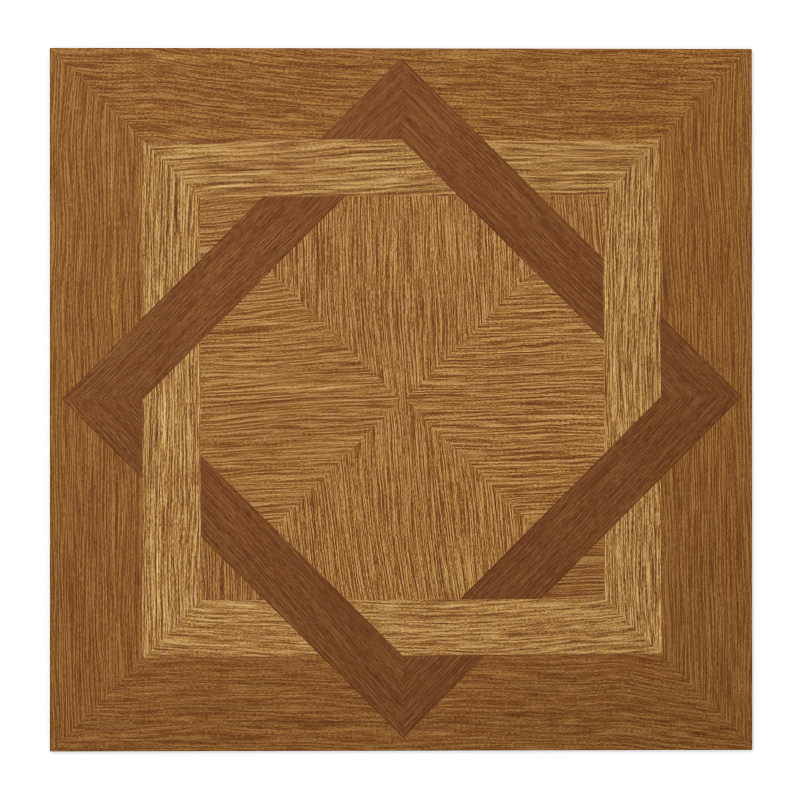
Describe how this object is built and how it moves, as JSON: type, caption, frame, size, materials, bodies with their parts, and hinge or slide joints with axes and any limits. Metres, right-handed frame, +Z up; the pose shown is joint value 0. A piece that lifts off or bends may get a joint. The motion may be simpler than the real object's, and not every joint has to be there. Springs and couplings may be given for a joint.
{
  "type": "vinyl floor tile",
  "caption": "Thin square vinyl floor tile with die-cut edges and a printed wood parquet face of interlaced square and diamond bands, glued down by its flat back.",
  "frame": {"origin": "middle of the tile's back, on the floor", "axes": "+Z up out of the printed wear face, +X and +Y along the tile's edges, +Y towards the edge that is at the top when the print is looked at"},
  "size_m": [0.3048, 0.3048, 0.0012],
  "materials": {
    "printed_vinyl": "satin"
  },
  "bodies": {
    "root": {"vinyl_tile": "printed_vinyl"}
  },
  "joints": []
}
